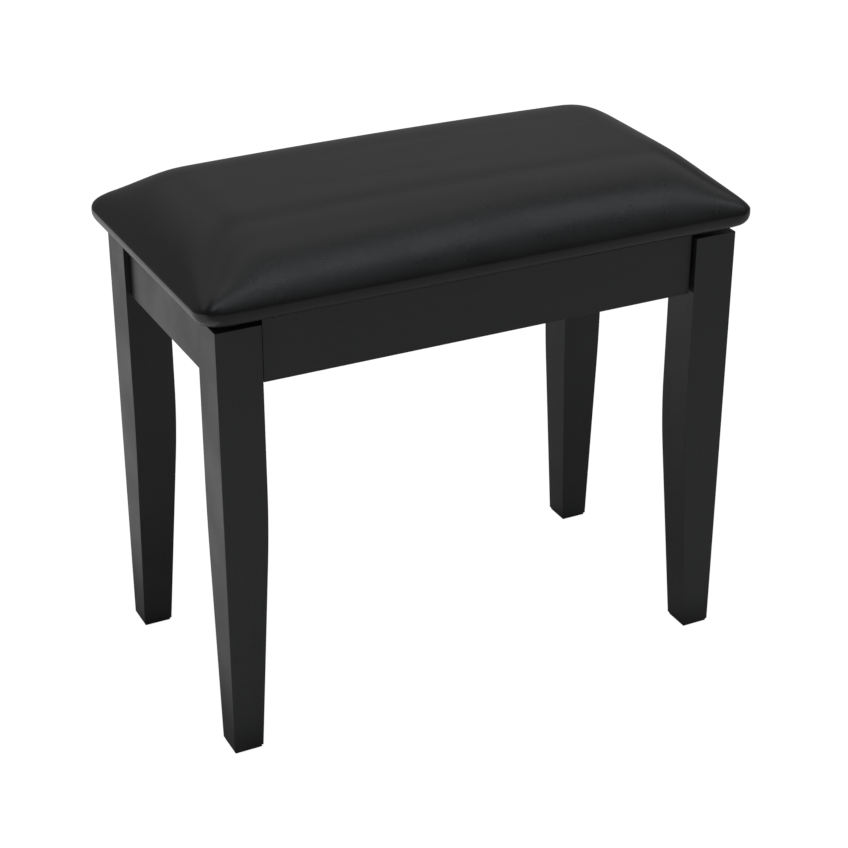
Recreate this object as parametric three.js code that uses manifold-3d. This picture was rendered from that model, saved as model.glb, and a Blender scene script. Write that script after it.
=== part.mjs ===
// A piano bench: a crowned leatherette seat on a low four-apron frame, with four tapered square legs.
// Millimetres, +Z up. The origin is on the floor under the middle of the seat, +X runs along the bench
// and -Y is its front.
//
// The legs can be taken off. A wooden block spans each corner of the frame behind the leg, and a hanger bolt
// runs from the leg through the block to a wing nut. A long screw goes up through each block into the seat.

import * as THREE from 'three';
import { mergeVertices } from 'three/addons/utils/BufferGeometryUtils.js';
import Module from 'manifold-3d';

const wasm = await Module();
wasm.setup();

// ---------------------------------------------------------------- driving dimensions

const GAP = 0.3; // left between pieces that touch

const FRAME_X = 508; // over the legs' outer faces
const FRAME_Y = 268;

const LEG_TOP = 418.5; // height of the legs' upper ends
const LEG_SIZE = 41.5; // square section at the top
const FOOT_SIZE = 28; // square section at the floor
const KNEE_Z = 226; // where the straight part meets the taper
const KNEE_BLEND = 38; // the knee is eased over this height each way
const LEG_FLAT = 8; // the inner corner is cut back this much, as a seat for the block
const LEG_FLAT_FROM = 368; // height where that cut starts

const APRON_BOTTOM = 363.3;
const APRON_TOP = 424.8;
const APRON_THICK = 15;
const APRON_RECESS = 5; // set back from the legs' outer faces
const APRON_END_GAP = 2.2; // between an apron's end and the leg

const SEAT_BOTTOM = 426;
const SEAT_TOP = 491.2;
const SEAT_OVERHANG_X = 15.6; // past the legs' outer faces
const SEAT_OVERHANG_Y = 13.8;
const SEAT_CORNER = 22; // corner radius seen from above
const SIDE_TOP = 438; // height where the seat's side starts to roll over
const ROLL_IN = 18; // the roll is a quarter of an ellipse, this wide
const ROLL_UP = 6; // and this high
const UNDER_ROUND = 9; // rounding radius round the board's lower edge
const CROWN_RUN_X = 78; // the crown's shoulder takes this distance from the ends
const CROWN_RUN_Y = 112; // and this distance from the front and the back
const CROWN_POWER_X = 2.35; // how fast the shoulder levels out
const CROWN_POWER_Y = 2.74;
const CROWN_START_X = 1.38; // how gently it begins at the edge
const CROWN_START_Y = 1.35;
const CROWN_DOME = 0.1; // share of its height that the crown loses from the middle to the ends
const CROWN_MITRE = 1.35; // how squarely the shoulders of two sides meet, from melted at 0 to mitred

const COVER_THICK = 1;
const COVER_TURN_IN = 26; // width of leatherette turned in under the board
const BOARD_THICK = 9;
const DUST_THICK = 0.6;
const DUST_INSET = 17; // from the seat's outline to the dust cover's edge
const DUST_CORNER = 12;

const BLOCK_HEIGHT = 50;
const BLOCK_THICK = 22; // measured along the corner's diagonal

const BOLT_R = 3.8; // hanger bolt, M8 with clearance left for its thread
const BOLT_IN_LEG = 30;
const BOLT_POINT = 7; // length of its pointed end
const BOLT_NECK = 3; // length over which the wood thread's core widens to the rod
const BOLT_Z = 400;
const WASHER_R = 11;
const WASHER_THICK = 1.6;
const NUT_HEIGHT = 9;
const NUT_HUB_R = 7.5;
const NUT_WAIST = 1.8; // the hub narrows by this much towards its top
const NUT_COLLAR = 2; // height of its full-width foot
const NUT_WING_REACH = 17;
const NUT_WING_HEIGHT = 16;
const NUT_WING_THICK = 2.6;
const BOLT_PAST_NUT = 5;
const THREAD_PITCH = 1.25;
const THREAD_DEPTH = 0.6;
const THREAD_RIDGES = 3; // that show past the nut

const SCREW_R = 1.9; // shank of the wood screws
const SCREW_HEAD_R = 4;
const SCREW_HEAD_HEIGHT = 2.6;
const SCREW_HEAD_EDGE = 0.3; // bevel round a countersunk head
const SCREW_POINT = 5; // length of the pointed end
const RECESS_REACH = 4.4; // the driver's cross in a screw head
const RECESS_WIDTH = 1;
const RECESS_DEPTH = 1.5;
const BLOCK_SCREW_LENGTH = 21;
const BLOCK_SCREW_REACH = 71; // from the corner, along the apron
const BLOCK_SCREW_Z = 389;
const POCKET_R = 5.2; // counterbore for a block screw's head
const WOOD_UNDER_HEAD = 8;
const SEAT_SCREW_LENGTH = 59;
const SEAT_SCREW_SIDE = 20; // off the diagonal, to pass beside the hanger bolt

const GLIDE_SIZE = 26; // a square pad, nearly as wide as the foot
const GLIDE_HEIGHT = 2.6;
const GLIDE_BEVEL = 0.8;
const GLIDE_WELL = 1.5; // depth of the well for the nail's head
const NAIL_R = 1.2;
const NAIL_LENGTH = 14;
const NAIL_POINT = 3;
const NAIL_HEAD_R = 3.4;
const NAIL_HEAD_HEIGHT = 0.9;

const HOLE_END = 1; // free length left in a hole past the point of what it holds
const PAST = 2; // a cutting tool runs this far past the face it opens

const HOLE_SIDES = 12; // facets of round holes and rods
const SCREW_SIDES = 10;
const NAIL_SIDES = 8;
const CORNER_STEPS = 6; // facets of each rounded corner of the seat
const STRAIGHT_STEPS = 5; // and of each straight side between two corners
const KNEE_STEPS = 8;

// ---------------------------------------------------------------- materials

const paint = () => new THREE.MeshStandardMaterial({ color: 0x141415, roughness: 0.42, metalness: 0 });
const leatherette = () => new THREE.MeshStandardMaterial({ color: 0x101012, roughness: 0.38, metalness: 0 });
const foam = () => new THREE.MeshStandardMaterial({ color: 0xd8cfae, roughness: 0.95, metalness: 0 });
const plywood = () => new THREE.MeshStandardMaterial({ color: 0xb78e5c, roughness: 0.8, metalness: 0 });
const beech = () => new THREE.MeshStandardMaterial({ color: 0xc49b6a, roughness: 0.7, metalness: 0 });
const cloth = () => new THREE.MeshStandardMaterial({ color: 0x18181a, roughness: 0.95, metalness: 0 });
const zinc = () => new THREE.MeshStandardMaterial({ color: 0xb4b6b8, roughness: 0.35, metalness: 1 });
const nylon = () => new THREE.MeshStandardMaterial({ color: 0x1c1c1d, roughness: 0.55, metalness: 0 });

// ---------------------------------------------------------------- solids, joins and cuts

function toSolid(geometry) {
  const bare = geometry.clone();
  bare.deleteAttribute('normal');
  bare.deleteAttribute('uv');
  const merged = mergeVertices(bare, 1e-4);
  return new wasm.Manifold(new wasm.Mesh({
    numProp: 3,
    vertProperties: merged.attributes.position.array,
    triVerts: new Uint32Array(merged.index.array),
  }));
}

function toGeometry(solid) {
  const mesh = solid.getMesh();
  const geometry = new THREE.BufferGeometry();
  geometry.setAttribute('position', new THREE.BufferAttribute(mesh.vertProperties, 3));
  geometry.setIndex(new THREE.BufferAttribute(mesh.triVerts, 1));
  const flat = geometry.toNonIndexed();
  flat.computeVertexNormals();
  return flat;
}

function cut(body, tools) {
  return toGeometry(tools.reduce((solid, tool) => solid.subtract(toSolid(tool)), toSolid(body)));
}

function join(pieces) {
  return toGeometry(pieces.map(toSolid).reduce((whole, piece) => whole.add(piece)));
}

// A rod from `start` along the unit vector `along`.
function rod(radius, length, start, along, sides = HOLE_SIDES) {
  const geometry = new THREE.CylinderGeometry(radius, radius, length, sides);
  const turn = new THREE.Quaternion().setFromUnitVectors(new THREE.Vector3(0, 1, 0), along);
  geometry.applyQuaternion(turn);
  const middle = start.clone().addScaledVector(along, length / 2);
  return geometry.translate(middle.x, middle.y, middle.z);
}

// A solid of revolution about Z from [radius, z] pairs that run upwards and start and end on the axis.
function turned(profile, sides = HOLE_SIDES) {
  const points = profile.map(([radius, z]) => new THREE.Vector2(radius, z));
  return new THREE.LatheGeometry(points, sides).rotateX(Math.PI / 2);
}

// A closed surface through rings with the same number of points, listed from the first cap to the last.
// Each ring runs counter-clockwise seen from above, and the first cap is the one whose outside looks up.
function loft(rings) {
  const count = rings[0].length;
  const corners = [];
  const middle = (ring) => ring.reduce((sum, p) => sum.add(p), new THREE.Vector3()).divideScalar(count);
  const triangle = (...points) => points.forEach((p) => corners.push(p.x, p.y, p.z));
  const cap = (ring, up) => {
    const centre = middle(ring);
    ring.forEach((p, i) => {
      const next = ring[(i + 1) % count];
      if (up) triangle(centre, p, next);
      else triangle(centre, next, p);
    });
  };
  cap(rings[0], true);
  for (let r = 0; r + 1 < rings.length; r += 1) {
    const [above, below] = [rings[r], rings[r + 1]];
    for (let i = 0; i < count; i += 1) {
      const j = (i + 1) % count;
      // Of the two ways to split the four-sided patch, the one whose fold is higher keeps a crown convex.
      if (above[i].z + below[j].z >= above[j].z + below[i].z) {
        triangle(above[i], below[i], below[j]);
        triangle(above[i], below[j], above[j]);
      } else {
        triangle(above[i], below[i], above[j]);
        triangle(below[i], below[j], above[j]);
      }
    }
  }
  cap(rings[rings.length - 1], false);
  const geometry = new THREE.BufferGeometry();
  geometry.setAttribute('position', new THREE.BufferAttribute(new Float32Array(corners), 3));
  geometry.computeVertexNormals();
  return geometry;
}

// ---------------------------------------------------------------- the seat

const SEAT_HALF_X = FRAME_X / 2 + SEAT_OVERHANG_X;
const SEAT_HALF_Y = FRAME_Y / 2 + SEAT_OVERHANG_Y;

// The seat's outline drawn in by `inset`: a rounded rectangle, with points along its straight sides too.
function outline(inset, corner = SEAT_CORNER) {
  const radius = Math.max(corner - inset, 2);
  const reachX = SEAT_HALF_X - inset - radius;
  const reachY = SEAT_HALF_Y - inset - radius;
  const centres = [[1, 1], [-1, 1], [-1, -1], [1, -1]];
  const points = [];
  centres.forEach(([sx, sy], k) => {
    for (let i = 0; i <= CORNER_STEPS; i += 1) {
      const angle = (k + i / CORNER_STEPS) * (Math.PI / 2);
      points.push([sx * reachX + radius * Math.cos(angle), sy * reachY + radius * Math.sin(angle)]);
    }
    const [nx, ny] = centres[(k + 1) % 4];
    const last = points[points.length - 1];
    const first = [last[0] + (nx - sx) * reachX, last[1] + (ny - sy) * reachY];
    for (let i = 1; i < STRAIGHT_STEPS; i += 1) {
      const t = i / STRAIGHT_STEPS;
      points.push([last[0] + (first[0] - last[0]) * t, last[1] + (first[1] - last[1]) * t]);
    }
  });
  return points;
}

const LEAST_SHARE = 1e-6; // stands for zero, which the blend can't take

// Share of the crown's height reached at a distance from one of the seat's sides.
function rise(distance, run, power, start) {
  const share = Math.min(Math.max(distance / run, 0), 1);
  return (1 - (1 - share) ** power) ** start;
}

// Joins the shares that two neighbouring sides allow.
function meet(shareX, shareY) {
  const low = (share) => Math.max(share, LEAST_SHARE) ** -CROWN_MITRE;
  return (low(shareX) + low(shareY) - 1) ** (-1 / CROWN_MITRE);
}

// Height of the seat's upper surface at a point `inset` from the outline. The edge rolls over, and the foam
// climbs with it to a nearly level middle.
function crown(x, y, inset) {
  const roll = ROLL_UP * Math.sqrt(1 - Math.max(1 - inset / ROLL_IN, 0) ** 2);
  const shareX = rise(SEAT_HALF_X - Math.abs(x), CROWN_RUN_X, CROWN_POWER_X, CROWN_START_X);
  const shareY = rise(SEAT_HALF_Y - Math.abs(y), CROWN_RUN_Y, CROWN_POWER_Y, CROWN_START_Y);
  const dome = 1 - CROWN_DOME * (x / SEAT_HALF_X) ** 2;
  return SIDE_TOP + roll + (SEAT_TOP - SIDE_TOP - ROLL_UP) * dome * meet(shareX, shareY);
}

const level = (inset, z) => outline(inset).map(([x, y]) => new THREE.Vector3(x, y, z));

// A ring of the upper surface, `skin` inside it: the outline drawn in by `inset` and shrunk to `share`.
function upperRing(inset, share, skin) {
  const surface = outline(inset);
  return outline(inset + skin).map(([x, y], i) => {
    const z = crown(surface[i][0] * share, surface[i][1] * share, inset) - skin;
    return new THREE.Vector3(x * share, y * share, z);
  });
}

const CROWN_SHARES = [0.12, 0.35, 0.55, 0.7, 0.82, 0.92];
const ROLL_ANGLES = [90, 68, 48, 30, 14, 0].map(THREE.MathUtils.degToRad);
const UNDER_ANGLES = [0, -25, -50, -72].map(THREE.MathUtils.degToRad);

const upperRings = (skin) => [
  ...CROWN_SHARES.map((share) => upperRing(ROLL_IN, share, skin)),
  ...ROLL_ANGLES.map((angle) => upperRing(ROLL_IN * (1 - Math.cos(angle)), 1, skin)),
];

// The rounding under the seat's edge, from its widest line down to the flat underside.
const underRings = (skin) => UNDER_ANGLES.map((angle) => level(
  UNDER_ROUND - (UNDER_ROUND - skin) * Math.cos(angle),
  SEAT_BOTTOM + UNDER_ROUND + (UNDER_ROUND - skin) * Math.sin(angle),
));

const TURN_IN_INSETS = [UNDER_ROUND, COVER_TURN_IN];

function seatCover() {
  const outside = [
    ...upperRings(0),
    ...underRings(0),
    ...TURN_IN_INSETS.map((inset) => level(inset, SEAT_BOTTOM)),
  ];
  const inside = [
    ...upperRings(COVER_THICK),
    ...underRings(COVER_THICK),
    ...TURN_IN_INSETS.map((inset) => level(inset, SEAT_BOTTOM + COVER_THICK)),
  ];
  return loft([...outside, ...inside.reverse()]);
}

const BOARD_SKIN = COVER_THICK + GAP;
const BOARD_BOTTOM = SEAT_BOTTOM + BOARD_SKIN;
const BOARD_TOP = BOARD_BOTTOM + BOARD_THICK;

// The board's lower edge is rounded over, so that the skin turns softly round it.
function seatBoardBlank() {
  return loft([
    level(BOARD_SKIN, BOARD_TOP),
    ...underRings(BOARD_SKIN),
    level(UNDER_ROUND, BOARD_BOTTOM),
  ]);
}

function seatFoam() {
  return loft([...upperRings(BOARD_SKIN), level(BOARD_SKIN, BOARD_TOP + GAP)]);
}

// ---------------------------------------------------------------- one corner of the frame

// Corner pieces are drawn in the corner's own axes: the origin is on the floor under the leg's outer edge,
// and the leg fills the quarter with x and y positive. Right-angle turns of that quarter give all corners.

const UP = new THREE.Vector3(0, 0, 1);
const DOWN = new THREE.Vector3(0, 0, -1);
const INTO_LEG = new THREE.Vector3(-1, -1, 0).normalize();
const INTO_FRAME = new THREE.Vector3(1, 1, 0).normalize();
const ALONG_BLOCK = new THREE.Vector3(1, -1, 0).normalize();

const FLAT_AT = (2 * LEG_SIZE - LEG_FLAT) / Math.SQRT2; // from the outer edge to the cut inner corner
const BLOCK_NEAR = FLAT_AT + GAP;
const BLOCK_FAR = BLOCK_NEAR + BLOCK_THICK;
const BLOCK_TOP = APRON_TOP;
const BLOCK_BOTTOM = BLOCK_TOP - BLOCK_HEIGHT;
const APRON_INNER = APRON_RECESS + APRON_THICK; // inner face of the aprons, in the corner's axes
const LEG_BOTTOM = GLIDE_HEIGHT + GAP;

// A point on the corner's diagonal, `distance` from the leg's outer edge.
const onDiagonal = (distance, z) => INTO_FRAME.clone().multiplyScalar(distance).setZ(z);

// Width of the leg at a height: it narrows in a straight line below the knee, and the knee is eased.
function legWidth(z) {
  const slope = (LEG_SIZE - FOOT_SIZE) / KNEE_Z;
  const below = KNEE_Z + KNEE_BLEND - z;
  if (below <= 0) return LEG_SIZE;
  if (below >= 2 * KNEE_BLEND) return LEG_SIZE - slope * (KNEE_Z - z);
  return LEG_SIZE - (slope * below * below) / (4 * KNEE_BLEND);
}

function leg() {
  const heights = [LEG_TOP];
  for (let i = 0; i <= KNEE_STEPS; i += 1) heights.push(KNEE_Z + KNEE_BLEND * (1 - (2 * i) / KNEE_STEPS));
  heights.push(LEG_BOTTOM);
  const blank = loft(heights.map((z) => {
    const w = legWidth(z);
    return [[0, 0], [w, 0], [w, w], [0, w]].map(([x, y]) => new THREE.Vector3(x, y, z));
  }));
  const span = LEG_TOP - LEG_FLAT_FROM + GAP;
  const flat = new THREE.BoxGeometry(2 * LEG_FLAT, 4 * LEG_FLAT, span).rotateZ(Math.PI / 4);
  const flatAt = onDiagonal(FLAT_AT + LEG_FLAT, LEG_FLAT_FROM + span / 2);
  flat.translate(flatAt.x, flatAt.y, flatAt.z);
  const boltEnd = onDiagonal(FLAT_AT - BOLT_IN_LEG - HOLE_END, BOLT_Z);
  const boltHole = rod(BOLT_R + GAP, BOLT_IN_LEG + HOLE_END + PAST, boltEnd, INTO_FRAME);
  const nailStart = new THREE.Vector3(FOOT_SIZE / 2, FOOT_SIZE / 2, -PAST);
  const nailHole = rod(NAIL_R + GAP, NAIL_LENGTH + HOLE_END + PAST, nailStart, UP, NAIL_SIDES);
  return cut(blank, [flat, boltHole, nailHole]);
}

const BLOCK_SCREW_SEAT = APRON_INNER + GAP + WOOD_UNDER_HEAD; // the pocket's floor

// The two block screws mirror each other across the corner's diagonal.
const blockScrewHeadAt = {
  a: new THREE.Vector3(BLOCK_SCREW_REACH, BLOCK_SCREW_SEAT, BLOCK_SCREW_Z),
  b: new THREE.Vector3(BLOCK_SCREW_SEAT, BLOCK_SCREW_REACH, BLOCK_SCREW_Z),
};
const blockScrewWay = { a: new THREE.Vector3(0, -1, 0), b: new THREE.Vector3(-1, 0, 0) };

const seatScrewAt = onDiagonal((BLOCK_NEAR + BLOCK_FAR) / 2, BLOCK_BOTTOM).addScaledVector(
  ALONG_BLOCK,
  SEAT_SCREW_SIDE,
);

function cornerBlock() {
  const wall = APRON_INNER + GAP;
  const [near, far] = [BLOCK_NEAR, BLOCK_FAR].map((distance) => distance * Math.SQRT2 - wall);
  const plan = new THREE.Shape([[wall, near], [near, wall], [far, wall], [wall, far]].map(
    ([x, y]) => new THREE.Vector2(x, y),
  ));
  const blank = new THREE.ExtrudeGeometry(plan, { depth: BLOCK_HEIGHT, bevelEnabled: false });
  blank.translate(0, 0, BLOCK_BOTTOM);
  const holes = [
    rod(BOLT_R + GAP, BLOCK_THICK + 2 * PAST, onDiagonal(BLOCK_NEAR - PAST, BOLT_Z), INTO_FRAME),
    rod(SCREW_R + GAP, BLOCK_HEIGHT + 2 * PAST, seatScrewAt.clone().addScaledVector(DOWN, PAST), UP),
    countersink(seatScrewAt),
  ];
  for (const side of ['a', 'b']) {
    const [head, way] = [blockScrewHeadAt[side], blockScrewWay[side]];
    const start = head.clone().addScaledVector(way, -PAST);
    holes.push(rod(SCREW_R + GAP, WOOD_UNDER_HEAD + 2 * PAST, start, way));
    holes.push(rod(POCKET_R, BLOCK_THICK, head, way.clone().negate()));
  }
  return cut(blank, holes);
}

// A conical recess, open downwards, that the head of a seat screw lies in.
function countersink(at) {
  const top = SCREW_HEAD_HEIGHT + GAP;
  const radius = SCREW_HEAD_R + 2 * GAP;
  const profile = [[0, -PAST], [radius, -PAST], [radius, 0], [SCREW_R, top], [0, top]];
  return turned(profile).translate(at.x, at.y, at.z);
}

// The two arms of the cross that a driver fits, sunk in a head whose face is at height `z`.
function crossRecess(z) {
  return [[RECESS_REACH, RECESS_WIDTH], [RECESS_WIDTH, RECESS_REACH]].map(([width, depth]) => {
    return new THREE.BoxGeometry(width, depth, 2 * RECESS_DEPTH).translate(0, 0, z);
  });
}

// A countersunk wood screw: the face of its head is at the origin and its point at +Z.
function woodScrew(length) {
  const profile = [
    [0, 0],
    [SCREW_HEAD_R - SCREW_HEAD_EDGE, 0],
    [SCREW_HEAD_R, SCREW_HEAD_EDGE],
    [SCREW_R, SCREW_HEAD_HEIGHT],
    [SCREW_R, length - SCREW_POINT],
    [0, length],
  ];
  return cut(turned(profile, SCREW_SIDES), crossRecess(0));
}

// A pan-headed wood screw: the head's underside is at the origin, and the head is towards -Z.
function panScrew(length) {
  const profile = [
    [0, -SCREW_HEAD_HEIGHT],
    [SCREW_HEAD_R * 0.6, -SCREW_HEAD_HEIGHT],
    [SCREW_HEAD_R, -SCREW_HEAD_HEIGHT * 0.4],
    [SCREW_HEAD_R, 0],
    [SCREW_R, 0],
    [SCREW_R, length - SCREW_POINT],
    [0, length],
  ];
  return cut(turned(profile, SCREW_SIDES), crossRecess(-SCREW_HEAD_HEIGHT));
}

const BOLT_LENGTH = BOLT_IN_LEG + GAP + BLOCK_THICK + WASHER_THICK + NUT_HEIGHT + 3 * GAP + BOLT_PAST_NUT;

// The hanger bolt lies along +Z: a pointed wood thread first, then a rod with a machine thread at its end.
function hangerBolt() {
  const core = BOLT_R - THREAD_DEPTH;
  const thread = [];
  for (let i = THREAD_RIDGES; i > 0; i -= 1) {
    const z = BOLT_LENGTH - (i + 0.5) * THREAD_PITCH;
    thread.push([BOLT_R, z], [core, z + THREAD_PITCH / 2]);
  }
  return turned([
    [0, 0],
    [core, BOLT_POINT],
    [core, BOLT_IN_LEG - BOLT_NECK],
    [BOLT_R, BOLT_IN_LEG],
    ...thread,
    [core, BOLT_LENGTH],
    [0, BOLT_LENGTH],
  ]);
}

function washer() {
  const plan = new THREE.Shape().absarc(0, 0, WASHER_R, 0, 2 * Math.PI);
  plan.holes.push(new THREE.Path().absarc(0, 0, BOLT_R + GAP, 0, 2 * Math.PI, true));
  return new THREE.ExtrudeGeometry(plan, {
    depth: WASHER_THICK,
    bevelEnabled: false,
    curveSegments: HOLE_SIDES,
  });
}

// A wing nut: a waisted hub along +Z with two upright ears that lean outwards.
function wingNut() {
  const hub = turned([
    [0, 0],
    [NUT_HUB_R, 0],
    [NUT_HUB_R, NUT_COLLAR],
    [NUT_HUB_R - NUT_WAIST, NUT_HEIGHT],
    [0, NUT_HEIGHT],
  ]);
  const root = BOLT_R + 2 * GAP; // inside the hub, clear of the bore
  const [reach, top] = [NUT_WING_REACH, NUT_WING_HEIGHT];
  const ear = new THREE.Shape();
  ear.moveTo(root, NUT_COLLAR);
  ear.lineTo(NUT_HUB_R + NUT_COLLAR, NUT_COLLAR);
  ear.quadraticCurveTo(reach - NUT_COLLAR, top / 3, reach, top * 0.75);
  ear.quadraticCurveTo(reach, top, reach * 0.65, top * 0.92);
  ear.quadraticCurveTo(NUT_HUB_R + NUT_COLLAR, top * 0.7, root, NUT_HEIGHT - NUT_WAIST);
  ear.closePath();
  const pieces = [hub];
  for (const turn of [0, Math.PI]) {
    const wing = new THREE.ExtrudeGeometry(ear, {
      depth: NUT_WING_THICK,
      bevelEnabled: false,
      curveSegments: CORNER_STEPS,
    });
    wing.translate(0, 0, -NUT_WING_THICK / 2).rotateX(Math.PI / 2).rotateZ(turn);
    pieces.push(wing);
  }
  const bore = rod(BOLT_R + GAP, NUT_HEIGHT + 2 * PAST, new THREE.Vector3(0, 0, -PAST), UP);
  return cut(join(pieces), [bore]);
}

// A foot pad with a shallow well in its underside, where the nail's head lies clear of the floor.
function glide() {
  const start = new THREE.Vector3(0, 0, -PAST);
  const well = rod(NAIL_HEAD_R + GAP, GLIDE_WELL + PAST, start, UP);
  const hole = rod(NAIL_R + GAP, GLIDE_HEIGHT + 2 * PAST, start, UP, NAIL_SIDES);
  const square = (half, z) => [[-1, -1], [1, -1], [1, 1], [-1, 1]].map(
    ([x, y]) => new THREE.Vector3(x * half, y * half, z),
  );
  const pad = loft([
    square(GLIDE_SIZE / 2, GLIDE_HEIGHT),
    square(GLIDE_SIZE / 2, GLIDE_BEVEL),
    square(GLIDE_SIZE / 2 - GLIDE_BEVEL, 0),
  ]);
  return cut(pad, [well, hole]);
}

function glideNail() {
  const head = GLIDE_WELL - GAP - NAIL_HEAD_HEIGHT;
  return turned([
    [0, head],
    [NAIL_HEAD_R, head],
    [NAIL_HEAD_R, head + NAIL_HEAD_HEIGHT],
    [NAIL_R, head + NAIL_HEAD_HEIGHT],
    [NAIL_R, NAIL_LENGTH - NAIL_POINT],
    [0, NAIL_LENGTH],
  ], NAIL_SIDES);
}

// ---------------------------------------------------------------- aprons and seat, as they lie in the bench

const CORNERS = [
  { name: 'front_left', x: -FRAME_X / 2, y: -FRAME_Y / 2, quarter: 0 },
  { name: 'front_right', x: FRAME_X / 2, y: -FRAME_Y / 2, quarter: 1 },
  { name: 'rear_right', x: FRAME_X / 2, y: FRAME_Y / 2, quarter: 2 },
  { name: 'rear_left', x: -FRAME_X / 2, y: FRAME_Y / 2, quarter: 3 },
];

// A point given in a corner's axes, in the bench's own.
function fromCorner(corner, point) {
  const swung = point.clone().applyAxisAngle(UP, corner.quarter * (Math.PI / 2));
  return swung.add(new THREE.Vector3(corner.x, corner.y, 0));
}

const APRON_DEPTH = APRON_TOP - APRON_BOTTOM;
const PILOT_DEPTH = BLOCK_SCREW_LENGTH - WOOD_UNDER_HEAD - GAP + HOLE_END;

// An apron seen from inside the frame, its inner face on y = 0 and its thickness towards -y.
function apron(frameLength) {
  const length = frameLength - 2 * (LEG_SIZE + APRON_END_GAP);
  const board = new THREE.BoxGeometry(length, APRON_THICK, APRON_DEPTH);
  board.translate(0, -APRON_THICK / 2, APRON_BOTTOM + APRON_DEPTH / 2);
  const pilots = [-1, 1].map((end) => {
    const x = end * (frameLength / 2 - BLOCK_SCREW_REACH);
    const start = new THREE.Vector3(x, PAST, BLOCK_SCREW_Z);
    return rod(SCREW_R + GAP, PILOT_DEPTH + PAST, start, new THREE.Vector3(0, -1, 0));
  });
  return cut(board, pilots);
}

function seatScrewHoles(bottom, top) {
  return CORNERS.map((corner) => {
    const start = fromCorner(corner, seatScrewAt).setZ(bottom);
    return rod(SCREW_R + GAP, top - bottom, start, UP, SCREW_SIDES);
  });
}

function seatBoard() {
  const screwEnd = BLOCK_BOTTOM + SEAT_SCREW_LENGTH;
  return cut(seatBoardBlank(), seatScrewHoles(BOARD_BOTTOM - PAST, screwEnd + HOLE_END));
}

function dustCover() {
  const bottom = SEAT_BOTTOM - GAP - DUST_THICK;
  const edge = outline(DUST_INSET, DUST_INSET + DUST_CORNER).map(([x, y]) => new THREE.Vector2(x, y));
  const sheet = new THREE.ExtrudeGeometry(new THREE.Shape(edge), { depth: DUST_THICK, bevelEnabled: false });
  sheet.translate(0, 0, bottom);
  return cut(sheet, seatScrewHoles(bottom - PAST, SEAT_BOTTOM + PAST));
}

// ---------------------------------------------------------------- the assembly

const bench = new THREE.Group();

function add(group, name, geometry, material) {
  const mesh = new THREE.Mesh(geometry, material);
  mesh.name = name;
  group.add(mesh);
  return mesh;
}

add(bench, 'seat_cover', seatCover(), leatherette());
add(bench, 'seat_foam', seatFoam(), foam());
add(bench, 'seat_board', seatBoard(), plywood());
add(bench, 'dust_cover', dustCover(), cloth());

const innerX = FRAME_X / 2 - APRON_INNER;
const innerY = FRAME_Y / 2 - APRON_INNER;
add(bench, 'front_apron', apron(FRAME_X), paint()).position.y = -innerY;
add(bench, 'right_apron', apron(FRAME_Y), paint()).position.x = innerX;
add(bench, 'rear_apron', apron(FRAME_X), paint()).position.y = innerY;
add(bench, 'left_apron', apron(FRAME_Y), paint()).position.x = -innerX;
['front_apron', 'right_apron', 'rear_apron', 'left_apron'].forEach((name, k) => {
  bench.getObjectByName(name).rotation.z = k * (Math.PI / 2);
});

// Places a piece drawn along +Z so that its origin is at `at` and it points along `way`.
function aim(mesh, at, way) {
  mesh.position.copy(at);
  mesh.quaternion.setFromUnitVectors(UP, way);
}

for (const corner of CORNERS) {
  const group = new THREE.Group();
  group.position.set(corner.x, corner.y, 0);
  group.rotation.z = corner.quarter * (Math.PI / 2);
  bench.add(group);

  add(group, `leg_${corner.name}`, leg(), paint());
  add(group, `corner_block_${corner.name}`, cornerBlock(), beech());

  const bolt = add(group, `hanger_bolt_${corner.name}`, hangerBolt(), zinc());
  aim(bolt, onDiagonal(FLAT_AT - BOLT_IN_LEG, BOLT_Z), INTO_FRAME);
  const plate = add(group, `bolt_washer_${corner.name}`, washer(), zinc());
  aim(plate, onDiagonal(BLOCK_FAR + GAP, BOLT_Z), INTO_FRAME);
  const nut = add(group, `wing_nut_${corner.name}`, wingNut(), zinc());
  aim(nut, onDiagonal(BLOCK_FAR + 2 * GAP + WASHER_THICK, BOLT_Z), INTO_FRAME);

  for (const side of ['a', 'b']) {
    const screw = add(group, `block_screw_${side}_${corner.name}`, panScrew(BLOCK_SCREW_LENGTH), zinc());
    const way = blockScrewWay[side];
    aim(screw, blockScrewHeadAt[side].clone().addScaledVector(way, -GAP), way);
  }
  const seatScrew = add(group, `seat_screw_${corner.name}`, woodScrew(SEAT_SCREW_LENGTH), zinc());
  aim(seatScrew, seatScrewAt, UP);

  const foot = new THREE.Vector3(FOOT_SIZE / 2, FOOT_SIZE / 2, 0);
  add(group, `glide_${corner.name}`, glide(), nylon()).position.copy(foot);
  add(group, `glide_nail_${corner.name}`, glideNail(), zinc()).position.copy(foot);
}

export default bench;
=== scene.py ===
"""The looks of a black piano bench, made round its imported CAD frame. Metres, +Z up, in the CAD model's frame.

Wooden, metal and plastic nodes keep their shapes and get eased edges and procedural finishes. The soft nodes
(leatherette, foam, dust cover) are replaced by new meshes. The staples under the seat are added here.
"""
import math

import bpy
import numpy as np
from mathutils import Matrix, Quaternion, Vector


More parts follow.
